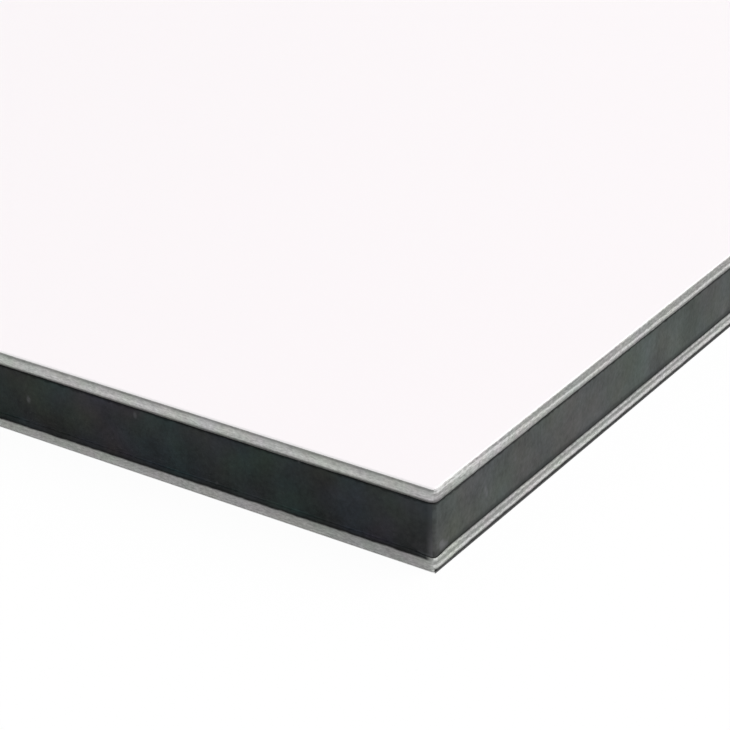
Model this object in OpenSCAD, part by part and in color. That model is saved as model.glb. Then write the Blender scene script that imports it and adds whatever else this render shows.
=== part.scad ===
// Aluminium composite panel: one full sheet, two thin aluminium skins bonded to a black
// polyethylene core. It lies on its back skin with its painted front skin up.
// The origin is the middle of the underside. X runs along the length, Y across, Z up.

/* [Sheet] */
// Length of the sheet, along X
sheet_length = 2440; // [600:1:6100]
// Width of the sheet, along Y
sheet_width = 1220; // [300:1:2050]

// Radius to which handling has rounded the sheet's four upright corners
upright_corner_radius = 0.16; // [0.05:0.01:0.5]

/* [Layers] */
// Thickness of the painted front skin
front_skin_thickness = 0.5; // [0.3:0.01:0.8]
// Thickness of the polyethylene core
core_thickness = 2; // [1:0.05:6]
// Thickness of the back skin
back_skin_thickness = 0.5; // [0.3:0.01:0.8]

/* [Cut edges of the skins] */
// Radius to which the cut rolls over the front skin's outer arris
front_arris_radius = 0.08; // [0.02:0.01:0.12]
// Radius to which the cut rolls over the back skin's outer arris
back_arris_radius = 0.1; // [0.02:0.01:0.12]
// Height of the rough break, where each skin tore off towards the core
break_height = 0.1; // [0.02:0.01:0.15]
// How far the break falls back from the burnished part of the cut
break_depth = 0.02; // [0.005:0.005:0.1]

/* [Cut edge of the core] */
// How far the core sprang back behind the skins
core_setback = 0.04; // [0:0.01:0.3]
// Height of the groove where the core tore away from the front skin
groove_height = 0.07; // [0.04:0.01:0.2]
// Depth of that groove, behind the core's own face
groove_depth = 0.07; // [0.05:0.01:0.3]
// Radius of the core's softened arrises, at the groove and beside the back skin
core_arris_radius = 0.02; // [0.01:0.005:0.04]

/* [Hidden] */

// Heights at which the layers meet
core_base = back_skin_thickness;
front_skin_base = core_base + core_thickness;

// Each edge section reaches this far inwards, past the opposite edge of the sheet
section_reach = 1.2 * (sheet_length + sheet_width);
// Straight pieces that make up one arris or one upright corner
arris_steps = 8;
// The core's corners stay rounded by this much, however far it sprang back
least_corner_radius = 0.02;

// A quarter turn of an outline, from start_angle, about a centre given by its two coordinates
function quarter_turn(across, up, radius, start_angle) =
    [for (i = [0 : arris_steps])
        let (angle = start_angle + 90 * i / arris_steps)
        [across + radius * cos(angle), up + radius * sin(angle)]];

// Edge sections are drawn across the edge: x = 0 is where the blade passed, negative x lies
// inside the sheet, and z is the height above the layer's own base.

// Front skin: the break at the bottom, the burnished cut, the rolled arris at the top
function front_skin_section() = concat(
    [[-section_reach, 0], [-break_depth, 0], [0, break_height]],
    quarter_turn(-front_arris_radius, front_skin_thickness - front_arris_radius,
                 front_arris_radius, 0),
    [[-section_reach, front_skin_thickness]]);

// Core: a flat face behind the skins, with softened arrises and a groove under the front skin
function core_section() = concat(
    [[-section_reach, 0]],
    quarter_turn(-core_setback - core_arris_radius, core_arris_radius,
                 core_arris_radius, -90),
    quarter_turn(-core_setback - core_arris_radius,
                 core_thickness - groove_height - core_arris_radius, core_arris_radius, 0),
    [[-core_setback - groove_depth, core_thickness - groove_height],
     [-core_setback - groove_depth, core_thickness],
     [-section_reach, core_thickness]]);

// Back skin: the rolled arris at the bottom, the burnished cut, the break at the top
function back_skin_section() = concat(
    [[-section_reach, 0]],
    quarter_turn(-back_arris_radius, back_arris_radius, back_arris_radius, -90),
    [[0, back_skin_thickness - break_height], [-break_depth, back_skin_thickness],
     [-section_reach, back_skin_thickness]]);

// A layer that ends in the section on one side only, square to the direction given
module cut_on_one_side(section, direction) {
    half_span = (direction % 180 == 0 ? sheet_length : sheet_width) / 2;
    rotate([0, 0, direction])
        translate([half_span, 0, 0])
            rotate([90, 0, 0])
                linear_extrude(height = section_reach, center = true)
                    polygon(section);
}

// The sheet's outline, inset all round, with its upright corners rounded
module rounded_outline(inset) {
    radius = max(upright_corner_radius - inset, least_corner_radius);
    x = sheet_length / 2 - inset - radius;
    y = sheet_width / 2 - inset - radius;
    polygon(concat(quarter_turn(x, y, radius, 0), quarter_turn(-x, y, radius, 90),
                   quarter_turn(-x, -y, radius, 180), quarter_turn(x, -y, radius, 270)));
}

// A whole layer: what the four cuts leave, with its upright corners rounded by handling
module layer(base, thickness, inset, section) {
    translate([0, 0, base])
        intersection() {
            intersection_for(direction = [0 : 90 : 270])
                cut_on_one_side(section, direction);
            translate([0, 0, -1])
                linear_extrude(height = thickness + 2)
                    rounded_outline(inset);
        }
}

module front_skin() {
    color("white") layer(front_skin_base, front_skin_thickness, 0, front_skin_section());
}

module core() {
    color([0.1, 0.11, 0.11]) layer(core_base, core_thickness, core_setback, core_section());
}

module back_skin() {
    color("silver") layer(0, back_skin_thickness, 0, back_skin_section());
}

front_skin();
core();
back_skin();
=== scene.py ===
# %% [markdown]
# An aluminium composite panel: two thin aluminium skins bonded to a black polyethylene core.
# The photograph looks at one corner of the sheet from so close that the cut edge is what there
# is to see. So almost all the work here goes into that edge: what the blade did to the metal, how
# the softer core sprang back, and how each of the three surfaces takes the light.

import math
from types import SimpleNamespace

import bpy
import numpy as np
from mathutils import Matrix, Vector
from mathutils.geometry import delaunay_2d_cdt


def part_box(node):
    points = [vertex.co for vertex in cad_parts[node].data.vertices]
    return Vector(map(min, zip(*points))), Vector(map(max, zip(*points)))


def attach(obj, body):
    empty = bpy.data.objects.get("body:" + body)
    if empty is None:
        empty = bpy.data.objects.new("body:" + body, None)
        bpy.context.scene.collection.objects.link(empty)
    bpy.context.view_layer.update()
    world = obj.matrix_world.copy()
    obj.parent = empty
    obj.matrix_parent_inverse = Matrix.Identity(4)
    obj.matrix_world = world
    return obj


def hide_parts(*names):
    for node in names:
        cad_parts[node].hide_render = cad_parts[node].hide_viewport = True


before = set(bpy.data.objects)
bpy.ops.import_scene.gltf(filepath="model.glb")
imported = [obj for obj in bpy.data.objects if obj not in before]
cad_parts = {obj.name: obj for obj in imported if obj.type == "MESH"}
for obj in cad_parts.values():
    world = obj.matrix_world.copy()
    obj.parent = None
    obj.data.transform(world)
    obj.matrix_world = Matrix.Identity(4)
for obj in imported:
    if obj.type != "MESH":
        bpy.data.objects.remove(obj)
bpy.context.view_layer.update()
layer_boxes = {name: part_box(name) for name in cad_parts}
print("layers:", {name: [round(v, 5) for v in low] for name, (low, high) in layer_boxes.items()})

# %% [markdown]
# The outline of the sheet and the heights of its layers come from the loaded frame, in metres,
# so that this scene and the construction model can't drift apart. What the frame doesn't say,
# such as the radius of the upright corners, repeats the construction model's own value.

# %% Sizes of the sheet
MM = 0.001
HALF_LENGTH = layer_boxes["front_skin"][1][0]
HALF_WIDTH = layer_boxes["front_skin"][1][1]
SHEET_TOP = layer_boxes["front_skin"][1][2]
SKIN_THICKNESS = SHEET_TOP - layer_boxes["front_skin"][0][2]
CORNER_RADIUS = 0.16 * MM
print("sheet", [round(v, 4) for v in (2 * HALF_LENGTH, 2 * HALF_WIDTH, SHEET_TOP)], "m")

# %% [markdown]
# Node trees read better as sums than as boxes and wires. The small class Socket wraps one
# socket and overloads the arithmetic, so that `1 - mask * 0.3` adds the Math nodes by itself.

# %% Sockets that do arithmetic
class Socket:
    def __init__(self, tree, socket):
        self.tree, self.socket = tree, socket

    def __add__(self, other):
        return self.tree.maths("ADD", self, other)

    def __sub__(self, other):
        return self.tree.maths("SUBTRACT", self, other)

    def __rsub__(self, other):
        return self.tree.maths("SUBTRACT", other, self)

    def __mul__(self, other):
        return self.tree.maths("MULTIPLY", self, other)

    def __truediv__(self, other):
        return self.tree.maths("DIVIDE", self, other)

    def __rtruediv__(self, other):
        return self.tree.maths("DIVIDE", other, self)

    def __neg__(self):
        return self.tree.maths("MULTIPLY", self, -1.0)

    __radd__, __rmul__ = __add__, __mul__


# %% [markdown]
# Everything else comes from `add`, which takes a node's type, its settings and what goes into
# its sockets, and gives back one output. The other methods are short names for the nodes that
# are used most. They serve shaders and Geometry Nodes alike, because both kinds of tree are
# made by the same calls.

# %% A tree that adds its own nodes
class Tree:
    def __init__(self, group):
        self.group = group

    def add(self, kind, settings=None, inputs=None, output=0):
        """Adds a node: settings first, then its sockets, by name or number. Returns one output."""
        node = self.group.nodes.new(kind)
        for name, value in (settings or {}).items():
            if name == "stops":
                self.set_stops(node.color_ramp, value)
            else:
                setattr(node, name, value)
        for name, value in (inputs or {}).items():
            self.feed(node.inputs[name], value)
        return Socket(self, node.outputs[output]) if node.outputs else None

    def feed(self, socket, value):
        if isinstance(value, Socket):
            self.group.links.new(value.socket, socket)
        else:
            socket.default_value = value

    def set_stops(self, ramp, stops):
        while len(ramp.elements) < len(stops):
            ramp.elements.new(1.0)
        for element, (place, grey) in zip(ramp.elements, stops):
            element.position = place
            element.color = (grey, grey, grey, 1.0)

    def maths(self, operation, *values):
        return self.add("ShaderNodeMath", {"operation": operation}, dict(enumerate(values)))

    def vector(self, x, y, z):
        return self.add("ShaderNodeCombineXYZ", inputs={"X": x, "Y": y, "Z": z})

    def apart(self, vector):
        """The X, Y and Z of a vector."""
        split = self.add("ShaderNodeSeparateXYZ", inputs={"Vector": vector})
        return [Socket(self, output) for output in split.socket.node.outputs]

    def stretched(self, vector, scales):
        return self.add("ShaderNodeVectorMath", {"operation": "MULTIPLY"}, {0: vector, 1: scales})

    def scaled(self, colour, factor):
        return self.add("ShaderNodeVectorMath", {"operation": "SCALE"}, {0: colour, "Scale": factor})

    def noise(self, vector, scale=1.0, detail=2.0, roughness=0.5, seed=0.0):
        """Noise round 0, mostly between -1 and 1."""
        made = self.add("ShaderNodeTexNoise", {"noise_dimensions": "4D"}, {
            "Vector": vector, "W": seed, "Scale": scale, "Detail": detail, "Roughness": roughness})
        return made * 4.0 - 2.0

    def streaks(self, vector, scales, **settings):
        """Noise with its own fineness along X, Y and Z, in features per metre."""
        return self.noise(self.stretched(vector, scales), **settings)

    def smooth_step(self, value, low, high):
        """0 at low, 1 at high, eased between and level beyond; low may be the larger."""
        return self.add("ShaderNodeMapRange", {"interpolation_type": "SMOOTHSTEP"}, {
            "Value": value, "From Min": low, "From Max": high, "To Min": 0.0, "To Max": 1.0})


# %% [markdown]
# A tree's named inputs are what its modifier shows and what another tree can fill in. Here both
# trees share most of them, so they are listed once, with the values that all layers start from.

# %% Named inputs of the trees
SHARED_SIZES = {
    "Corner radius": CORNER_RADIUS, "Corner share": 0.02, "Crowding": 2.6,
    "Drift length": 0.9 * MM, "Drift height": 0.014 * MM, "Burr fades": 0.8 * MM,
    "Pit size": 0.4 * MM, "Pit depth": 0.004 * MM, "Seed": 0.0,
}


def named_inputs(group, sizes, counts):
    group.interface.new_socket("Geometry", in_out="INPUT", socket_type="NodeSocketGeometry")
    for name, value in sizes.items():
        socket = group.interface.new_socket(name, in_out="INPUT", socket_type="NodeSocketFloat")
        socket.default_value = value
    for name, value in counts.items():
        socket = group.interface.new_socket(name, in_out="INPUT", socket_type="NodeSocketInt")
        socket.default_value = value
    group.interface.new_socket("Geometry", in_out="OUTPUT", socket_type="NodeSocketGeometry")


def taken(tree):
    """The tree's inputs, by name."""
    given = tree.group.nodes.new("NodeGroupInput")
    return {s.name: Socket(tree, s) for s in given.outputs if s.name}


print("shared inputs:", ", ".join(SHARED_SIZES))

# %% [markdown]
# Each layer's cut edge is one section carried round the sheet: a case for a sweep. The
# ready-made Curve to Mesh node thins its section at sharp corners, so this tree lays out its own
# grid, of stations along a side and points down the section, and works out where each belongs.
# The section is a chain of points on the object that carries the modifier: its X says how far
# inside the sheet a point lies, its Z how high, and its named columns say the rest.

# %% Read one row of the section
def read_section(tree, section, row):
    """How far inside the sheet the row lies, how high, and a way to read its other columns."""
    def sampled(kind, value):
        return tree.add("GeometryNodeSampleIndex", {"data_type": kind, "clamp": True}, {
            "Geometry": section, "Value": value, "Index": row})

    def weight(name):
        named = tree.add("GeometryNodeInputNamedAttribute", {"data_type": "FLOAT"}, {"Name": name})
        return sampled("FLOAT", named)

    x, _, z = tree.apart(sampled("FLOAT_VECTOR", tree.add("GeometryNodeInputPosition")))
    return -x, z, weight


# %% [markdown]
# The last few stations of a side turn half of the upright corner, which handling has rounded by
# a sixth of a millimetre, and a little more where the section says that it is worn. The other
# stations crowd towards the corners, where a sheet is looked at closely: a tanh does that with
# one number.

# %% Place the stations along a side
LEAST_ROUNDING = 0.02 * MM
TIGHTER_INSIDE = 1.5


def along_the_side(tree, take, station, worn):
    """The distance to the corner, and a function that says where a point of the section lies."""
    share = take["Corner share"]
    size = tree.maths("ABSOLUTE", station)
    straight = tree.maths("MINIMUM", size / (1.0 - share), 1.0)
    crowded = tree.maths("TANH", straight * take["Crowding"]) / tree.maths("TANH", take["Crowding"])
    turn = tree.maths("MAXIMUM", size - (1.0 - share), 0.0) / share * (math.pi / 4)

    def at(inset, height):
        rounding = take["Corner radius"] - inset * TIGHTER_INSIDE + worn
        rounding = tree.maths("MAXIMUM", rounding, LEAST_ROUNDING)
        outwards = take["Half depth"] - inset - rounding + rounding * tree.maths("COSINE", turn)
        along = (take["Half span"] - inset - rounding) * crowded + rounding * tree.maths("SINE", turn)
        along = along * tree.maths("SIGN", station)
        x = take["Facing X"] * outwards - take["Facing Y"] * along
        y = take["Facing Y"] * outwards + take["Facing X"] * along
        return tree.vector(x, y, height)

    return take["Half span"] * (1.0 - crowded), at


# %% [markdown]
# Three things make the cut look torn and not drawn. The torn lines wander, the surface is
# pitted, and the back skin's burr stands up except near the corners, where it has been knocked
# off. Wander and pits are noise sampled at the place itself, so two sides agree where they meet.
# A Displace modifier would shake every row alike; here each row says how much of it it takes.

# %% The tree that carries a section along one side
SIDE_SIZES = {"Half span": 1.0, "Half depth": 1.0, "Facing X": 1.0, "Facing Y": 0.0, **SHARED_SIZES}


def side_tree():
    group = bpy.data.node_groups.new("cut along one side", "GeometryNodeTree")
    named_inputs(group, SIDE_SIZES, {"Stations": 600, "Side": 0})
    tree = Tree(group)
    take = taken(tree)
    section = take["Geometry"]
    rows = tree.add("GeometryNodeAttributeDomainSize", inputs={"Geometry": section})
    grid = tree.add("GeometryNodeMeshGrid", inputs={
        "Size X": 2.0, "Size Y": rows - 1.0, "Vertices X": take["Stations"], "Vertices Y": rows})
    station, centred, _ = tree.apart(tree.add("GeometryNodeInputPosition"))
    row = centred + (rows - 1.0) * 0.5
    inset, height, weight = read_section(tree, section, row)
    from_corner, at = along_the_side(tree, take, station, weight("worn"))

    plain = at(inset, height)
    drift = tree.noise(plain, 1.0 / take["Drift length"], detail=3.0, seed=take["Seed"])
    pits = tree.noise(plain, 1.0 / take["Pit size"], seed=take["Seed"])
    inset = inset + (pits * 0.5 + 0.5) * take["Pit depth"] * weight("pitted")
    height = height + drift * take["Drift height"] * weight("drifts")
    height = height + tree.smooth_step(from_corner, 0.0, take["Burr fades"]) * weight("burr")

    stored = {"row": ("CORNER", row), "station": ("CORNER", station), "side": ("FACE", take["Side"])}
    for name, (domain, value) in stored.items():
        settings = {"data_type": "FLOAT", "domain": domain}
        grid = tree.add("GeometryNodeStoreNamedAttribute", settings, {
            "Geometry": grid, "Name": name, "Value": value})
    moved = tree.add("GeometryNodeSetPosition", inputs={
        "Geometry": grid, "Position": at(inset, height)})
    tree.add("NodeGroupOutput", inputs={"Geometry": moved})
    return group


# %% [markdown]
# The whole cut is four such sides, joined and welded at the corners. The four ways to face are
# whole numbers, so no rounding opens a crack there.

# %% The tree that carries a section round the sheet
SHEET_SIZES = {"Half length": HALF_LENGTH, "Half width": HALF_WIDTH, **SHARED_SIZES}
FACINGS = [(1.0, 0.0), (0.0, 1.0), (-1.0, 0.0), (0.0, -1.0)]
WELD = 0.001 * MM


def round_tree(one_side):
    group = bpy.data.node_groups.new("cut round the sheet", "GeometryNodeTree")
    named_inputs(group, SHEET_SIZES, {"Long stations": 900, "Short stations": 640})
    group.interface.new_socket("Finish", in_out="INPUT", socket_type="NodeSocketMaterial")
    tree = Tree(group)
    take = taken(tree)
    joined = group.nodes.new("GeometryNodeJoinGeometry")
    shared = {name: take[name] for name in SHARED_SIZES}
    for side, (x, y) in enumerate(FACINGS):
        short = x != 0.0
        placed = {
            "Geometry": take["Geometry"], "Facing X": x, "Facing Y": y, "Side": side,
            "Half span": take["Half width" if short else "Half length"],
            "Half depth": take["Half length" if short else "Half width"],
            "Stations": take["Short stations" if short else "Long stations"],
        }
        made = tree.add("GeometryNodeGroup", {"node_tree": one_side}, {**shared, **placed})
        group.links.new(made.socket, joined.inputs[0])
    welded = tree.add("GeometryNodeMergeByDistance", inputs={
        "Geometry": Socket(tree, joined.outputs[0]), "Distance": WELD})
    outwards = tree.add("GeometryNodeFlipFaces", inputs={"Mesh": welded})
    real = tree.add("GeometryNodeRealizeInstances", inputs={"Geometry": outwards})
    dressed = tree.add("GeometryNodeSetMaterial", inputs={
        "Geometry": real, "Material": take["Finish"]})
    tree.add("NodeGroupOutput", inputs={"Geometry": dressed})
    return group


one_side = side_tree()
round_the_sheet = round_tree(one_side)
print("trees:", len(one_side.nodes), "and", len(round_the_sheet.nodes), "nodes")

# %% [markdown]
# The finishes come before the pieces, because a swept edge takes its finish inside the tree.
# All of them start alike: a principled shader that reads the place on the object in metres.

# %% Tools for the finishes
def new_finish(name):
    material = bpy.data.materials.new(name)
    material.use_nodes = True
    tree = Tree(material.node_tree)
    shader = material.node_tree.nodes["Principled BSDF"]
    place = tree.add("ShaderNodeTexCoord", output="Object")
    return material, tree, shader, place


def mixed(tree, share, low, high):
    """A colour between low and high."""
    def rgba(colour):
        return colour if isinstance(colour, Socket) else (*colour, 1.0)
    return tree.add("ShaderNodeMix", {"data_type": "RGBA"}, {
        "Factor": share, 6: rgba(low), 7: rgba(high)}, output=2)


def bumped(tree, height, distance):
    return tree.add("ShaderNodeBump", inputs={"Height": height, "Distance": distance, "Strength": 1.0})


# %% [markdown]
# Where on the cut a point lies decides how it looks. The two ends of a sheet are cut by another blade
# than its long sides, so the finishes need to know which of the two they are on, and how far the
# nearest corner is. Separate materials for ends and sides would meet in a hard line at the corner, and
# a mask worked out from the place doesn't. The look of the ends reaches a few hundredths of a
# millimetre round the corner, except right at the bottom: that is `wrapped`. Where the ends' look
# holds painted light, as on the core, this carries the painted light round the rounded corner.

# %% Which cut, and how far along it
def on_the_cut(tree, place, wrapped=0.0):
    """1 on the ends and 0 on the long sides; the distance to the corner; the height."""
    x, y, z = tree.apart(place)
    x_in = HALF_LENGTH - tree.maths("ABSOLUTE", x)
    y_in = HALF_WIDTH - tree.maths("ABSOLUTE", y)
    wrapped = tree.smooth_step(z, 0.12 * MM, 0.20 * MM) * wrapped
    is_end = tree.smooth_step(y_in - x_in + wrapped, -0.03 * MM, 0.03 * MM)
    return is_end, tree.maths("MAXIMUM", x_in, y_in), z


def ramp(tree, where, stops):
    """A grey that runs through the stops, each a place from 0 to 1 and a brightness."""
    return tree.add("ShaderNodeValToRGB", {"stops": stops}, {"Fac": where})


# %% [markdown]
# The painted face is a satin coil coat: baked on flat, so even in colour, with the faint swell that
# rollers leave in wet paint. Its colour is a hair warmer than pure white. On the long sides the paint
# on the rolled arris is made lighter, up to white: painted light that offsets the shade the arris
# turns into.

# %% Finish of the painted face
def coil_coat():
    material, tree, shader, place = new_finish("white_coil_coat")
    swell = tree.noise(place, 1 / (1.6 * MM), detail=1.0, seed=3.0)
    sweep = tree.streaks(place, (0.8, 9.0, 0.0), seed=5.0)
    is_end, _, z = on_the_cut(tree, place)
    # Painted light: on the long sides the rolled arris is lightened towards white against the shade it
    # turns into.
    painted_light_arris = tree.smooth_step(SHEET_TOP - z, 0.001 * MM, 0.02 * MM) * (1.0 - is_end)
    white = mixed(tree, sweep * 0.4 + 0.5, (0.934, 0.892, 0.909), (0.940, 0.898, 0.915))
    tree.feed(shader.inputs["Base Color"], mixed(tree, painted_light_arris, white, (1.0, 0.985, 0.99)))
    tree.feed(shader.inputs["Roughness"], 0.36 + swell * 0.02)
    tree.feed(shader.inputs["Normal"], bumped(tree, swell, 0.0004 * MM))
    shader.inputs["IOR"].default_value = 1.48
    shader.inputs["Specular IOR Level"].default_value = 0.3
    return material


# %% [markdown]
# Black polyethylene isn't one black. Regrind, cloudy mixing and the blade's pressure leave soft
# patches a millimetre or two wide, some a touch greener and some bluer, and finer strokes and grain in
# them. The long sides are given a darker black than the ends, which face the light: painted light and
# shade. The long sides are also a little paler towards their top. The blade also wipes this plastic
# over the metal beside it, so its colour is worked out once, for both.

# %% Colour of the black plastic
MIDDLE_HEIGHT = 1.5
TINTS = (((1.14, 0.84, 1.0), (0.84, 1.16, 0.98)), ((1.08, 1.0, 0.80), (0.94, 1.0, 1.20)))


def black_plastic(tree, place, is_end, z):
    """The colour, and the patches and the grain in it."""
    patches = tree.noise(place, 1 / (1.2 * MM), detail=3.0, seed=1.0)
    strokes = tree.streaks(place, (2600.0, 2600.0, 1500.0), detail=3.0, seed=2.0)
    grain = tree.noise(place, 1 / (0.17 * MM), roughness=0.6, seed=3.0)
    green = tree.noise(place, 1 / (2.6 * MM), seed=8.0)
    blue = tree.noise(place, 1 / (1.9 * MM), seed=9.0)
    tone = 0.5 + patches * (0.34 - is_end * 0.09) + strokes * 0.08 + grain * 0.22
    risen = (z / MM - MIDDLE_HEIGHT) * 0.14 * (1.0 - is_end)
    # Two copies of one black: painted light on the ends, painted shade on the long sides.
    shaded_side_black = mixed(tree, tone + risen, (0.0055, 0.008, 0.009), (0.0375, 0.047, 0.048))
    lit_end_black = mixed(tree, tone, (0.019, 0.023, 0.021), (0.100, 0.110, 0.107))
    black = mixed(tree, is_end, shaded_side_black, lit_end_black)
    for share, (low, high) in zip((green, blue), TINTS):
        black = tree.stretched(black, mixed(tree, share * (0.78 - is_end * 0.50) + 0.5, low, high))
    return black, patches, grain


# %% [markdown]
# Bare metal where the blade passed. It burnished some bands and tore others, so each skin shows a few
# bands that run along the cut, and they differ between the ends and the long sides. On the ends the
# bands slide towards the inner edge with the distance from the corner, and on the front skin the first
# millimetres of the upper arris took the best polish. On the ends the back skin's lowest arris is
# black: painted shade where it turns down to the floor. On the long sides the blade wiped black
# plastic from the core over the back skin's inner edge, and handling has rubbed it off at the very
# corner.
#
# Brightness over depth is the natural way to write bands down: pairs of a depth through the
# skin, from 0 at its outer face to 1 at its inner edge, and a brightness. The fine drag lines in
# the bands are noise stretched along the edge. The same stretch in X and Y serves all four
# sides, because across a side's own normal nothing changes.

# %% Bands on the cut skins
FRONT_BANDS = {
    "side": [(0.0, 0.75), (0.06, 0.58), (0.11, 0.40), (0.17, 0.35), (0.23, 0.48), (0.30, 0.60),
             (0.45, 0.68), (0.66, 0.80), (0.84, 0.78), (0.91, 0.48), (0.98, 0.20)],
    "end": [(0.0, 0.46), (0.15, 0.47), (0.22, 0.76), (0.28, 0.98), (0.34, 0.96), (0.42, 0.76),
            (0.52, 0.62), (0.70, 0.66), (0.84, 0.68), (1.0, 0.64)],
    "corner": [(0.29, 1.0), (0.37, 0.78), (0.44, 0.78), (0.53, 0.96), (0.58, 0.94), (0.67, 0.72)],
    "slide": {"near": -0.03, "far": 0.41, "reach": 11 * MM},
    "shaded_lip": {"from": 0.84, "to": 1.0, "loss": 0.46},
    "along": {"near": 0.96, "far": 1.06},
    "smeared from": {"near": 1.30, "far": 1.30},
    "bright corner": 0.62,
    "wrapped": 0.02 * MM,
}
BACK_BANDS = {
    "side": [(0.0, 1.0), (0.10, 0.96), (0.25, 0.78), (0.35, 0.80), (0.60, 0.70), (1.0, 0.60)],
    # The first stops are black: painted shade along the lowest arris, where it meets the floor.
    "end": [(0.155, 0.0), (0.235, 0.20), (0.31, 0.66), (0.37, 0.95), (0.50, 1.0), (0.58, 0.72),
            (0.68, 0.46), (0.78, 0.44), (0.88, 0.68), (1.0, 0.82)],
    "corner": [(0.752, 1.0), (0.80, 0.84), (0.88, 0.60)],
    "slide": {"near": -0.05, "far": 0.03, "reach": 4 * MM},
    "shaded_lip": {"from": 0.95, "to": 1.12, "loss": 0.62},
    "along": {"near": 0.86, "far": 1.05},
    "smeared from": {"near": 0.785, "far": 0.685},
    "bright corner": 0.0,
    "wrapped": 0.045 * MM,
}
for skin, bands in (("front", FRONT_BANDS), ("back", BACK_BANDS)):
    print(skin, "skin:", len(bands["side"]), "bands on the sides,", len(bands["end"]), "on the ends")

# %% [markdown]
# The blade's own marks are six noises, from slow drift along the edge to the finest grain. The metal
# under them is made of those bands. On the ends they slide, take the polish near the corner, and
# darken along the inner edge next to the core, ragged with nicks: painted shade. On the long sides
# they only gain a little along the edge. The burr reaches past the skin, so the brightness at the
# corner counts its depth in skins and a quarter.

# %% Bands and marks as metal
PAST_THE_SKIN = 1.25
POLISH = (0.92, 0.92, 0.92)


def between(share, ends):
    """A number that goes from ends["near"] to ends["far"]."""
    return ends["near"] + share * (ends["far"] - ends["near"])


def blade_marks(tree, place):
    return SimpleNamespace(
        drift=tree.noise(place, 1 / (9 * MM), detail=3.0, seed=1.0),
        lines=tree.streaks(place, (250.0, 250.0, 9000.0), seed=2.0),
        broad=tree.streaks(place, (60.0, 60.0, 5000.0), seed=6.0),
        blotch=tree.streaks(place, (2000.0, 2000.0, 5000.0), detail=3.0, seed=7.0),
        grain=tree.streaks(place, (6000.0, 6000.0, 18000.0), roughness=0.6, seed=4.0),
        nicks=tree.streaks(place, (4000.0, 4000.0, 2500.0), seed=13.0))


def metal_on_end(tree, bands, where, from_corner, marks):
    slide = bands["slide"]
    away = tree.smooth_step(from_corner + marks.drift * 0.5 * MM, -1 * MM, slide["reach"])
    slid = where - between(away, slide)
    polished = tree.smooth_step(slid, 0.30, 0.20) * tree.smooth_step(slid, 0.02, 0.14)
    polished = polished * tree.smooth_step(from_corner, 4.5 * MM, 0.3 * MM) * bands["bright corner"]
    metal = mixed(tree, polished, ramp(tree, slid, bands["end"]), POLISH)
    # Painted shade: the metal along the inner edge next to the core is darkened, raggedly.
    shaded_lip = tree.smooth_step(where + marks.nicks * 0.03, bands["shaded_lip"]["from"], bands["shaded_lip"]["to"])
    metal = tree.scaled(metal, 1.0 - shaded_lip * bands["shaded_lip"]["loss"])
    # Near the corner the bands grow darker towards the inner edge: painted shade where the corner
    # rounds off.
    near_corner = tree.smooth_step(from_corner, 1.4 * MM, 0.4 * MM)
    corner = ramp(tree, where / PAST_THE_SKIN, bands["corner"])
    return tree.stretched(metal, mixed(tree, near_corner, (1.0, 1.0, 1.0), corner))


def metal_on_side(tree, bands, where, from_corner):
    gain = between(tree.smooth_step(from_corner, 0.0, 10 * MM), bands["along"])
    return tree.scaled(ramp(tree, where, bands["side"]), gain)


# %% [markdown]
# The wiped plastic lies over the metal as a mask, thin where it starts, with a painted shade line
# along that edge, and paler where handling has scuffed it near the corner. It is no metal, so the same
# mask also takes Metallic down. A trace of warm and cool colour keeps the bare metal from looking like
# grey paint.

# %% Finish of the cut skins
PLASTIC_IOR = 1.46
WARM_AND_COOL = (((0.94, 1.0, 0.93), (1.03, 0.985, 1.0)), ((1.0, 1.0, 1.03), (1.0, 1.0, 0.97)))


def wiped_plastic(tree, bands, place, depth, marks):
    """How much of it lies on the metal of a long side, and its colour."""
    is_end, from_corner, z = on_the_cut(tree, place, bands["wrapped"])
    edge = between(tree.smooth_step(from_corner, 1 * MM, 18 * MM), bands["smeared from"])
    ragged = marks.blotch * 0.05 + marks.drift * 0.03 + marks.grain * 0.02
    over_edge = depth + ragged - edge
    smear = tree.smooth_step(over_edge, -0.10, 0.07) * (1.0 - is_end)
    smear = smear * tree.smooth_step(from_corner + marks.blotch * 0.06 * MM, 0.06 * MM, 0.36 * MM)
    black, _, _ = black_plastic(tree, place, is_end, z)
    # Painted shade: the plastic is darker where it starts.
    rim = tree.smooth_step(over_edge, 0.22, 0.06)
    scuffed = tree.smooth_step(from_corner, 1.0 * MM, 0.2 * MM)
    return smear, tree.scaled(black, (1.0 - rim * 0.8) * (1.0 + scuffed * 2.2))


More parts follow.
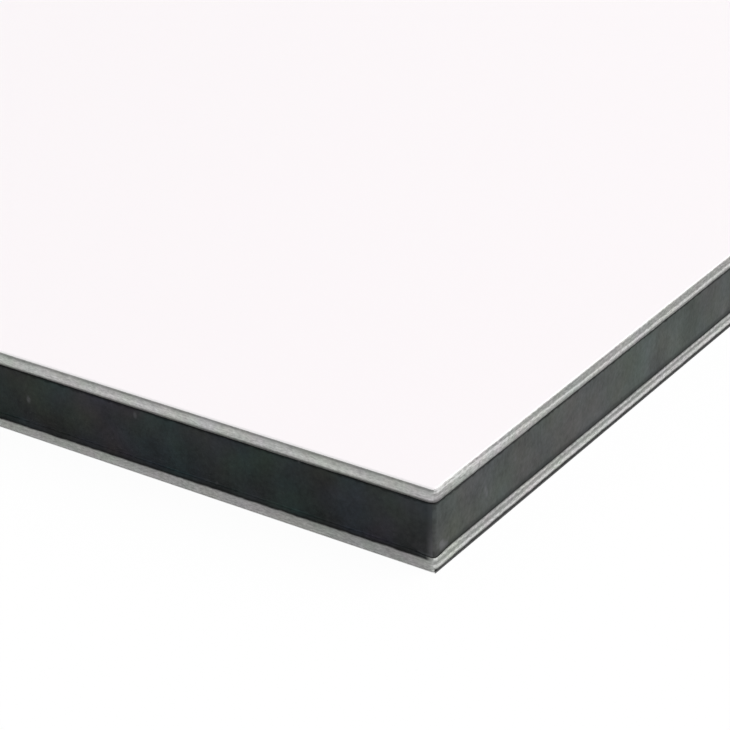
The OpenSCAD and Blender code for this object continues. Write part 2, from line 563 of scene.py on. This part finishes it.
def cut_aluminium(name, base, outer_is_up, bands):
    material, tree, shader, place = new_finish(name)
    is_end, from_corner, z = on_the_cut(tree, place, bands["wrapped"])
    depth = (base + SKIN_THICKNESS - z if outer_is_up else z - base) / SKIN_THICKNESS
    marks = blade_marks(tree, place)
    where = depth + marks.drift * 0.03 + marks.broad * 0.02 + marks.blotch * 0.025
    on_side = metal_on_side(tree, bands, where, from_corner)
    on_end = metal_on_end(tree, bands, where, from_corner, marks)
    uneven = marks.lines * (0.12 + is_end * 0.08) + marks.grain * (0.28 + is_end * 0.18)
    metal = tree.scaled(mixed(tree, is_end, on_side, on_end), 1.0 + uneven + marks.blotch * 0.14)
    warm = tree.noise(place, 1 / (0.9 * MM), seed=9.0)
    cool = tree.noise(place, 1 / (1.1 * MM), seed=12.0)
    for share, (low, high) in zip((warm, cool), WARM_AND_COOL):
        metal = tree.stretched(metal, mixed(tree, share * 0.6 + 0.5, low, high))
    smear, black = wiped_plastic(tree, bands, place, depth, marks)

    tree.feed(shader.inputs["Base Color"], mixed(tree, smear, metal, black))
    tree.feed(shader.inputs["Metallic"], 1.0 - smear)
    tree.feed(shader.inputs["Roughness"], 0.42 + marks.lines * 0.04 + marks.grain * 0.06)
    relief = marks.lines * 0.5 + marks.broad * 0.6 + marks.grain * 0.3
    tree.feed(shader.inputs["Normal"], bumped(tree, relief, 0.004 * MM))
    shader.inputs["IOR"].default_value = PLASTIC_IOR
    shader.inputs["Specular IOR Level"].default_value = 0.25
    return material


# %% [markdown]
# The core's own face is that plastic with what the saw and handling did to it. A few pale
# crumbs stick to it, longer than wide. They lie too flat for a mesh, so they are the centres of
# a Voronoi pattern, which is shifted so that two of them fall about where the photograph has
# its two clearest ones. At the upright corners the plastic is scuffed paler, and on the ends
# most of all low down, half a millimetre from the corner, in an ellipse with a ragged rim.

# %% Crumbs and scuffs
CRUMB_SPACING = (1 / (0.9 * MM), 1 / (0.9 * MM), 1 / (1.5 * MM))
CRUMB_SHIFT = (1391.92, 619.76, 0.0)
RUB = {"along": 0.55, "length": 0.42, "height": 0.75, "tallness": 0.25}


def crumbs_and_smudges(tree, place, patches, grain):
    cells = tree.stretched(place, CRUMB_SPACING)
    cells = tree.add("ShaderNodeVectorMath", {"operation": "ADD"}, {0: cells, 1: CRUMB_SHIFT})
    crumbs = tree.add("ShaderNodeTexVoronoi", {"feature": "F1"}, {
        "Vector": cells, "Scale": 1.0, "Randomness": 1.0})
    speck = 1.0 - tree.smooth_step(crumbs + grain * 0.03 - patches * 0.03, 0.03, 0.13)
    smudge = tree.smooth_step(tree.noise(place, 1 / (0.7 * MM), seed=10.0), 0.75, 1.5)
    return tree.maths("MAXIMUM", speck * 0.34, smudge * 0.12)


def scuffs(tree, place, is_end, from_corner, z, patches, grain):
    corner = from_corner + patches * 0.06 * MM + grain * 0.04 * MM
    low_down = tree.smooth_step(z + patches * 0.15 * MM, 1.7 * MM, 0.7 * MM)
    scuffed = tree.smooth_step(corner, 0.38 * MM, 0.12 * MM) * (0.14 + low_down * 0.34)
    ragged = tree.noise(place, 1 / (0.32 * MM), seed=14.0)
    along = (from_corner / MM - RUB["along"]) / RUB["length"]
    tall = (z / MM - RUB["height"]) / RUB["tallness"]
    rubbed = tree.smooth_step(1.0 - along * along - tall * tall + ragged * 0.6, 0.0, 1.0)
    return tree.maths("MAXIMUM", scuffed * (1.0 - is_end * 0.75), rubbed * (0.08 + is_end * 0.52))


# %% [markdown]
# The core lies in shade right under the front skin, whose drips of burr make that line ragged, and on
# the ends also just above the back skin. A renderer finds most of that shade by itself, and the colour
# is darkened there as well: painted shade. On the long sides, low down by the back skin, the colour is
# lifted instead: painted light against the shade in the slot there.

# %% Finish of the core
SCUFFED_BLACK = (0.17, 0.17, 0.18)


def polyethylene():
    material, tree, shader, place = new_finish("black_polyethylene")
    is_end, from_corner, z = on_the_cut(tree, place, 0.075 * MM)
    black, patches, grain = black_plastic(tree, place, is_end, z)
    nicks = tree.streaks(place, (3200.0, 3200.0, 1200.0), detail=3.0, roughness=0.6, seed=13.0)
    wander = nicks * 0.05 * MM + patches * 0.015 * MM
    above = tree.smooth_step(z + wander, 2.33 * MM, 2.41 * MM)
    below = tree.smooth_step(z + wander * 0.5, 0.80 * MM, 0.67 * MM)
    near_corner = tree.smooth_step(from_corner, 1.0 * MM, 0.2 * MM)
    # Painted light low on the long sides; below it, painted shade under the front skin and, on the
    # ends, above the back skin.
    painted_light_low = tree.smooth_step(z, 0.64 * MM, 0.57 * MM) * (1.0 - is_end) * (1.2 + near_corner)
    shade = above * (0.52 + is_end * 0.08) + below * is_end * 0.40
    black = tree.scaled(black, 1.0 - shade + painted_light_low)
    pale = tree.maths("MAXIMUM", crumbs_and_smudges(tree, place, patches, grain),
                      scuffs(tree, place, is_end, from_corner, z, patches, grain))

    rough = 0.45 + patches * 0.05 + grain * 0.04 + pale * 0.3 + above * 0.4
    tree.feed(shader.inputs["Base Color"], mixed(tree, pale, black, SCUFFED_BLACK))
    tree.feed(shader.inputs["Roughness"], rough)
    tree.feed(shader.inputs["Normal"], bumped(tree, patches * 0.6 + grain * 0.35, 0.008 * MM))
    shader.inputs["IOR"].default_value = PLASTIC_IOR
    shader.inputs["Specular IOR Level"].default_value = 0.25
    return material


# %% [markdown]
# Inside, skins and core carry the film that bonds them. It only shows in the groove, where it is rough
# and nearly black: partly the film's torn surface, partly painted shade for the groove. It could be a
# layer of its own, but it is thinner than anything else here, so it is a finish of the faces that it
# joins.

# %% Finish of the bonded faces
def bonding_film():
    material, tree, shader, place = new_finish("bonding_film")
    cloud = tree.noise(place, 1 / 0.1, seed=1.0)
    black = mixed(tree, cloud * 0.5 + 0.5, (0.014, 0.013, 0.012), (0.022, 0.020, 0.018))
    tree.feed(shader.inputs["Base Color"], black)
    tree.feed(shader.inputs["Roughness"], 0.9 + cloud * 0.05)
    tree.feed(shader.inputs["Normal"], bumped(tree, cloud, 0.01 * MM))
    return material


# %% [markdown]
# The back of the sheet is cheaper than the front: aluminium as it left the mill, under a thin
# grey wash coat. The mill's rolls leave long lines along the sheet, and noise that is stretched
# along X alone is enough for them. The photograph doesn't show the back, so this is a guess.

# %% Finish of the back
def wash_coat():
    material, tree, shader, place = new_finish("grey_wash_coat")
    rolled = tree.streaks(place, (1.5, 900.0, 0.0), detail=3.0, seed=1.0)
    cloud = tree.noise(place, 1 / 0.25, detail=3.0, seed=2.0)
    grey = mixed(tree, 0.5 + rolled * 0.3 + cloud * 0.2, (0.50, 0.505, 0.51), (0.58, 0.585, 0.59))
    tree.feed(shader.inputs["Base Color"], grey)
    tree.feed(shader.inputs["Roughness"], 0.46 + rolled * 0.06)
    tree.feed(shader.inputs["Normal"], bumped(tree, rolled, 0.002 * MM))
    shader.inputs["Metallic"].default_value = 0.55
    return material


coat = coil_coat()
front_cut = cut_aluminium("cut_front_skin", layer_boxes["front_skin"][0][2], True, FRONT_BANDS)
black = polyethylene()
back_cut = cut_aluminium("cut_back_skin", layer_boxes["back_skin"][0][2], False, BACK_BANDS)
film = bonding_film()
wash = wash_coat()
print("finishes:", ", ".join(m.name for m in (coat, front_cut, black, back_cut, film, wash)))

# %% [markdown]
# A section is a short list of points from the upper face, round the cut edge, to the lower face.
# Each point has six numbers: how far inside the sheet it lies, how high, how much the torn
# line's drift and the pits may move it, how far its burr stands up, and how much its upright
# corner is worn. Only the back skin's burr has its own number, because only that one is knocked
# off at the corners. Arrises are quarter circles, worked out and not typed in.
#
# The sizes are those of the construction model. Two things are finer than that model and are
# only made here: the burr that each skin keeps on its inner edge, and the extra wear that
# rounds the sheet's upright corners a little more.

# %% Sizes and arrises of the sections
FRONT_ARRIS_RADIUS = 0.08 * MM
BACK_ARRIS_RADIUS = 0.10 * MM
BREAK_HEIGHT = 0.10 * MM
BREAK_DEPTH = 0.02 * MM
CORE_SETBACK = 0.04 * MM
CORE_ARRIS_RADIUS = 0.02 * MM
GROOVE_HEIGHT = 0.07 * MM
GROOVE_DEPTH = 0.07 * MM
FRONT_BURR = 0.025 * MM
BACK_BURR = 0.065 * MM
FRONT_WEAR, CORE_WEAR, BACK_WEAR = 0.12 * MM, 0.06 * MM, 0.02 * MM
ARRIS_STEPS = 6


def arris(radius, setback, height, rises):
    """A quarter round from the flat to the cut (rises False: the upper arris), or back again."""
    points = []
    way = 1 if rises else -1
    for i in range(ARRIS_STEPS + 1):
        angle = 0.5 * math.pi * i / ARRIS_STEPS
        if rises:
            angle = 0.5 * math.pi - angle
        inset = setback + radius * (1 - math.sin(angle))
        points.append((inset, height + way * radius * (1 - math.cos(angle))))
    return points


# %% [markdown]
# Each layer's section starts at its upper face, so the front skin's begins with its rolled
# arris and ends with its break, and the back skin's the other way round. The core's begins in
# the groove, deeper inside than the core's own face.

# %% Sections of the three layers
FACE_ROWS = 4


def front_section(low, high):
    torn = low + BREAK_HEIGHT
    land = high - FRONT_ARRIS_RADIUS
    points = [(*p, 0.0, 0.0, 0.0, 0.0) for p in arris(FRONT_ARRIS_RADIUS, 0.0, high, False)]
    points += [(0.0, (land + torn) / 2, 0.5, 0.3, 0.0, FRONT_WEAR / 2),
               (0.0, torn, 1.0, 0.3, 0.0, FRONT_WEAR),
               (BREAK_DEPTH / 2, (torn + low) / 2, 0.5, 1.0, 0.0, FRONT_WEAR),
               (0.8 * BREAK_DEPTH, low - FRONT_BURR, 1.0, 0.5, 0.0, FRONT_WEAR)]
    return points + [(1.2 * BREAK_DEPTH, low, 0.0, 0.0, 0.0, FRONT_WEAR)]


def core_section(low, high):
    inner = CORE_SETBACK + GROOVE_DEPTH
    points = [(inner, high, 0.0, 0.5), (inner, high - 0.8 * GROOVE_HEIGHT, 0.5, 0.5)]
    upper, lower = high - GROOVE_HEIGHT, low + CORE_ARRIS_RADIUS
    points += [(*p, 1.0, 1.0) for p in arris(CORE_ARRIS_RADIUS, CORE_SETBACK, upper, False)]
    for i in range(1, FACE_ROWS):
        points.append((CORE_SETBACK, upper + (lower - upper) * i / FACE_ROWS, 0.0, 1.0))
    points += [(*p, 0.0, 1.0) for p in arris(CORE_ARRIS_RADIUS, CORE_SETBACK, low, True)]
    return [(*point, 0.0, CORE_WEAR) for point in points]


def back_section(low, high):
    torn = high - BREAK_HEIGHT
    land = low + BACK_ARRIS_RADIUS
    points = [(1.2 * BREAK_DEPTH, high, 0.0, 0.0, 0.0),
              (0.8 * BREAK_DEPTH, high, 1.0, 0.5, BACK_BURR),
              (BREAK_DEPTH / 2, (torn + high) / 2, 0.5, 1.0, 0.0),
              (0.0, torn, 1.0, 0.3, 0.0),
              (0.0, (land + torn) / 2, 0.5, 0.3, 0.0)]
    points += [(*p, 0.0, 0.0, 0.0) for p in arris(BACK_ARRIS_RADIUS, 0.0, low, True)]
    return [(*point, BACK_WEAR) for point in points]


# %% [markdown]
# The section becomes a chain of vertices on a throw-away object, with the tree as its modifier.
# A modifier takes its inputs by the sockets' identifiers and not by their names, so those are
# looked up first. What comes out, as a plain mesh, is a ring that is open at its upper and
# lower rims.

# %% Carry a section round the sheet
def swept(name, section, finish, sizes):
    mesh = bpy.data.meshes.new(name)
    chain = [(i, i + 1) for i in range(len(section) - 1)]
    mesh.from_pydata([(-inset, 0.0, height) for inset, height, *_ in section], chain, [])
    for column, weight in enumerate(("drifts", "pitted", "burr", "worn"), 2):
        layer = mesh.attributes.new(weight, "FLOAT", "POINT")
        layer.data.foreach_set("value", [row[column] for row in section])
    maker = bpy.data.objects.new(name + "_section", mesh)
    bpy.context.collection.objects.link(maker)
    modifier = maker.modifiers.new("cut", "NODES")
    modifier.node_group = round_the_sheet
    sockets = round_the_sheet.interface.items_tree
    inputs = {s.name: s.identifier for s in sockets if s.in_out == "INPUT"}
    modifier[inputs["Finish"]] = finish
    for size, value in sizes.items():
        modifier[inputs[size]] = value
    seen = maker.evaluated_get(bpy.context.evaluated_depsgraph_get())
    made = bpy.data.meshes.new_from_object(seen)
    bpy.data.objects.remove(maker)
    bpy.data.meshes.remove(mesh)
    return made


# %% [markdown]
# The corners of the ring's faces remember their row and station, and the faces remember their
# side. As plain arrays they give each rim in order round the sheet, which the flats need. The
# mesh itself could be walked edge by edge as well, but much more slowly.

# %% Read the ring and find its rims
def values(attribute):
    found = np.empty(len(attribute.data))
    attribute.data.foreach_get("value", found)
    return found


def read_sweep(mesh):
    """The swept ring as plain arrays: places of the vertices, corners of the faces, and for each
    corner its row and station, for each face its side."""
    place = np.empty(len(mesh.vertices) * 3)
    mesh.vertices.foreach_get("co", place)
    faces = [tuple(p.vertices) for p in mesh.polygons]
    rows, stations, sides = (values(mesh.attributes[n]) for n in ("row", "station", "side"))
    return place.reshape(-1, 3), faces, np.rint(rows), stations, sides


def rim(faces, rows, stations, sides, row):
    """The vertices of one row of the sweep, in order round the sheet."""
    corner_vertex = np.concatenate(faces)
    way = np.repeat(sides, [len(f) for f in faces]) + (stations + 1) / 2
    first = np.full(corner_vertex.max() + 1, np.inf)
    np.minimum.at(first, corner_vertex[rows == row], way[rows == row])
    found = np.flatnonzero(np.isfinite(first))
    return found[np.argsort(first[found])]


# %% [markdown]
# The flats close the ring. One huge face with thousands of corners would be cut into needles by
# whatever reads it. A Delaunay triangulation with a few rings of extra points keeps every
# triangle as stout as the finely divided rim allows. Of its kinds of output, 1 keeps only the
# triangles inside the rim.

# %% Fill the flats
FLAT_RINGS = (4 * MM, 15 * MM, 60 * MM, 200 * MM)
INSIDE_ONLY, SAME_POINT = 1, 1e-7


def flat_points():
    """Points inside the flats, on rings that open out away from the finely divided rim."""
    points = []
    for inset in FLAT_RINGS:
        a, b = HALF_LENGTH - inset, HALF_WIDTH - inset
        corners = [(a, -b), (a, b), (-a, b), (-a, -b)]
        for (x0, y0), (x1, y1) in zip(corners, corners[1:] + corners[:1]):
            steps = math.ceil(math.hypot(x1 - x0, y1 - y0) / inset)
            points += [(x0 + (x1 - x0) * i / steps, y0 + (y1 - y0) * i / steps) for i in range(steps)]
    return points


def filled(place, loop, first_new):
    """Triangles over the loop, and the places of the points they add."""
    spots = [Vector(place[i][:2]) for i in loop] + [Vector(p) for p in flat_points()]
    rim_face = list(range(len(loop)))
    out, _, triangles, origin, *_ = delaunay_2d_cdt(spots, [], [rim_face], INSIDE_ONLY, SAME_POINT)
    own, added = [], []
    for spot, sources in zip(out, origin):
        if sources and sources[0] < len(loop):
            own.append(int(loop[sources[0]]))
        else:
            own.append(first_new + len(added))
            added.append((spot.x, spot.y, place[loop[0]][2]))
    return [tuple(own[i] for i in t) for t in triangles], added


# %% [markdown]
# The closing bake gives each piece one image. Left alone, an automatic unwrap would make the
# half-millimetre cut thinner than a pixel beside 1.2 m of painted face. So each piece gets its
# own bake map: the outer face on the upper half, the hidden bonded face in a narrow band, and
# the four sides of the cut as tall strips below, one under the other.

# %% The bake map
MAP_EDGE = 0.01
MAP_ROOM = 1 - 2 * MAP_EDGE
OUTER_BAND = (0.52, 0.47)
BONDED_BAND = (0.455, 0.05)
STRIP_PITCH, STRIP_HEIGHT = 0.108, 0.098


def bake_places(place, faces, kinds, rows, stations, sides, outer):
    """One place on the map for each corner of each face."""
    found, corner = [], 0
    last_row = rows.max()
    for face, kind in enumerate(kinds):
        for vertex in faces[face]:
            if face < len(sides):
                across = (stations[corner] + 1) / 2
                up = MAP_EDGE + sides[face] * STRIP_PITCH + STRIP_HEIGHT * rows[corner] / last_row
                corner += 1
            else:
                low, height = OUTER_BAND if kind == outer else BONDED_BAND
                across = place[vertex][0] / (2 * HALF_LENGTH) + 0.5
                up = low + height * (place[vertex][1] / (2 * HALF_WIDTH) + 0.5)
            found.append((MAP_EDGE + MAP_ROOM * across, up))
    return found


# %% [markdown]
# Now the three layers. Each is one closed solid that stands for its construction solid: material
# 0 is its cut, 1 its upper face and 2 its lower one. The sheet is painted before it is cut, so
# the paint goes over the rolled arris with the metal, half way down. The flats are shaded flat
# and the cut smooth, so the long flat never borrows a tilted normal from the arris beside it.
#
# A pair such as PAINTED_ROWS says how many rows of the section take the upper face's finish, on
# the ends and on the long sides.

# %% Make the three layers
PAINTED_ROWS = (3, 4)
GROOVE_ROWS = (2, 2)
NO_ROWS = (0, 0)
CUT, UPPER, LOWER = 0, 1, 2
SHARP_OVER = math.radians(40)


def layer(name, node, section, cut, above, below, outer, upper_rows, sizes):
    low, high = (corner[2] for corner in layer_boxes[node])
    ring = swept(name, section(low, high), cut, sizes)
    place, faces, rows, stations, sides = read_sweep(ring)
    bpy.data.meshes.remove(ring)
    starts = np.cumsum([0] + [len(f) for f in faces[:-1]])
    is_long = sides.astype(int) % 2
    is_upper = np.minimum.reduceat(rows, starts) < np.take(upper_rows, is_long)
    kinds = [UPPER if upper else CUT for upper in is_upper]
    places = [tuple(p) for p in place]
    for kind, row in ((UPPER, 0), (LOWER, rows.max())):
        loop = rim(faces[:len(sides)], rows, stations, sides, row)
        triangles, added = filled(np.array(places), loop, len(places))
        places += added
        faces += [t if kind == UPPER else t[::-1] for t in triangles]
        kinds += [kind] * len(triangles)
    mesh = bpy.data.meshes.new(name)
    mesh.from_pydata(places, [], faces)
    for finish in (cut, above, below):
        mesh.materials.append(finish)
    mesh.polygons.foreach_set("material_index", kinds)
    mesh.set_sharp_from_angle(angle=SHARP_OVER)
    mesh.polygons.foreach_set("use_smooth", [face < len(sides) for face in range(len(faces))])
    bake_map = mesh.uv_layers.new(name="OFBake")
    spots = bake_places(places, faces, kinds, rows, stations, sides, outer)
    bake_map.uv.foreach_set("vector", np.array(spots).ravel())
    mesh.update()
    piece = bpy.data.objects.new(name, mesh)
    bpy.context.collection.objects.link(piece)
    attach(piece, "root")
    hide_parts(node)
    print(name, len(mesh.vertices), "vertices,", sum(len(f) - 2 for f in faces), "triangles")


layer("front_skin_cut", "front_skin", front_section, front_cut, coat, film, UPPER,
      PAINTED_ROWS, {"Seed": 11.0})
layer("core_cut", "core", core_section, black, film, film, UPPER,
      GROOVE_ROWS, {"Seed": 12.0, "Drift length": 0.8 * MM, "Drift height": 0.02 * MM})
layer("back_skin_cut", "back_skin", back_section, back_cut, film, wash, LOWER,
      NO_ROWS, {"Seed": 13.0})

# %% [markdown]
# The camera stands where the photograph was taken from, found from the vanishing of the two
# edges and the thickness at the corner: a long lens, 92 mm off, looking down 27 degrees. The
# view is aimed at a point on the floor just beside the corner.

# %% Camera
LENS = 126.585
AZIMUTH, ELEVATION, ROLL = (math.radians(a) for a in (34.2944, 27.3744, -1.0227))
DISTANCE = 92.2768 * MM
AIM = Vector((HALF_LENGTH - 9.6812 * MM, -HALF_WIDTH + 10.5379 * MM, 0.0))

back_way = Vector((math.sin(AZIMUTH) * math.cos(ELEVATION), -math.cos(AZIMUTH) * math.cos(ELEVATION),
                   math.sin(ELEVATION)))
right = Vector((math.cos(AZIMUTH), math.sin(AZIMUTH), 0.0))
up = back_way.cross(right)
rolled_right = right * math.cos(ROLL) + up * math.sin(ROLL)
rolled_up = up * math.cos(ROLL) - right * math.sin(ROLL)
camera = bpy.data.objects.new("camera", bpy.data.cameras.new("camera"))
bpy.context.collection.objects.link(camera)
camera.matrix_world = Matrix.Translation(AIM + back_way * DISTANCE) @ Matrix(
    (rolled_right, rolled_up, back_way)).transposed().to_4x4()
camera.data.lens = LENS
camera.data.sensor_width = 36.0
camera.data.clip_start = 5 * MM
camera.data.clip_end = 500.0
bpy.context.scene.camera = camera
print("camera at", [round(v, 4) for v in camera.location])

# %% [markdown]
# A pale floor without an end. It is graded like the sheet's rim, in small tiles near the sheet
# and huge ones far out, because one huge tile would blur the exact height of the floor by more
# than the arris is wide.
#
# The photograph's background is nearly white. A floor that really shone like that would light
# the cuts from below, so only the camera sees it white: a Light Path node tells its rays apart.
# Under the sheet, and for a hundredth of a millimetre beside the ends, the camera looks into the
# contact, and there the floor's colour is darkened for the camera alone: a painted contact shadow, far
# darker at the ends than at the long sides.

# %% Floor
FLOOR_LIFT = 0.955
CONTACT = 0.012 * MM
PAINTED_SHADOW_SIDES, PAINTED_SHADOW_ENDS = (0.80, 0.80, 0.80), (0.17, 0.17, 0.17)
FLOOR_COLOUR = (0.62, 0.62, 0.62)


def graded(half):
    near = [half * k for k in (0.0, 0.5, 0.8, 0.95, 0.99, 0.997, 1.0, 1.003, 1.01, 1.05, 1.2, 1.6)]
    far = [half + d for d in (2.0, 5.0, 12.0, 30.0, 80.0, 200.0)]
    plus = near + far
    return [-v for v in reversed(plus[1:])] + plus


def floor_mesh():
    xs, ys = graded(HALF_LENGTH), graded(HALF_WIDTH)
    mesh = bpy.data.meshes.new("floor")
    places = [(x, y, 0.0) for y in ys for x in xs]
    wide = len(xs)
    tiles = [(j * wide + i, j * wide + i + 1, (j + 1) * wide + i + 1, (j + 1) * wide + i)
             for j in range(len(ys) - 1) for i in range(wide - 1)]
    mesh.from_pydata(places, [], tiles)
    return mesh


def pale_floor():
    material, tree, shader, place = new_finish("pale_floor")
    shader.inputs["Roughness"].default_value = 1.0
    shader.inputs["Specular IOR Level"].default_value = 0.0
    white = tree.add("ShaderNodeEmission", inputs={"Strength": 1.0})
    seen_directly = tree.add("ShaderNodeLightPath", output="Is Camera Ray")
    x, y, _ = tree.apart(place)
    past_end = tree.maths("ABSOLUTE", x) - HALF_LENGTH
    past_side = tree.maths("ABSOLUTE", y) - HALF_WIDTH
    is_open = tree.maths("GREATER_THAN", tree.maths("MAXIMUM", past_end - CONTACT, past_side), 0.0)
    # Painted contact shadow: the floor's colour under and right beside the sheet, as the camera sees
    # it.
    under = mixed(tree, tree.maths("GREATER_THAN", past_end, past_side), PAINTED_SHADOW_SIDES, PAINTED_SHADOW_ENDS)
    seen_colour = mixed(tree, is_open, under, (1.0, 1.0, 1.0))
    tree.feed(shader.inputs["Base Color"], mixed(tree, seen_directly, FLOOR_COLOUR, seen_colour))
    surface = tree.add("ShaderNodeMixShader", inputs={
        0: seen_directly * is_open * FLOOR_LIFT, 1: Socket(tree, shader.outputs[0]), 2: white})
    tree.feed(tree.group.nodes["Material Output"].inputs["Surface"], surface)
    return material


floor = bpy.data.objects.new("floor", floor_mesh())
bpy.context.collection.objects.link(floor)
floor.data.materials.append(pale_floor())
print("floor:", len(floor.data.polygons), "tiles")

# %% [markdown]
# Light. On a subject this small a lamp a metre away is as good as at infinity, and the same
# scene is also seen from ten metres, so all light comes from the sky and from one wide sun:
# both look the same from near and far. The sky is brighter behind the sheet and to the right,
# which is what makes the right-hand cut lighter than the left-hand one.

# %% Sky and lamp
KEY_WAY = Vector((0.75, 0.66, 0.0)).normalized()
world = bpy.data.worlds.new("studio")
bpy.context.scene.world = world
world.use_nodes = True
sky = Tree(world.node_tree)
way = sky.add("ShaderNodeTexCoord", output="Generated")
towards_key = sky.add(
    "ShaderNodeVectorMath", {"operation": "DOT_PRODUCT"}, {0: way, 1: KEY_WAY}, "Value")
glow = 0.86 + towards_key * 0.50
seen_directly = sky.add("ShaderNodeLightPath", output="Is Camera Ray")
background = world.node_tree.nodes["Background"]
background.inputs["Color"].default_value = (1.0, 1.0, 1.0, 1.0)
sky.feed(background.inputs["Strength"], glow + seen_directly * (1.0 - glow))

sun = bpy.data.objects.new("key", bpy.data.lights.new("key", "SUN"))
sun.data.energy = 0.25 * math.pi
sun.data.angle = math.radians(50)
sun.matrix_world = Vector((0.5, 0.45, 0.75)).to_track_quat("Z", "Y").to_matrix().to_4x4()
bpy.context.collection.objects.link(sun)
bpy.context.scene.view_settings.view_transform = "Standard"
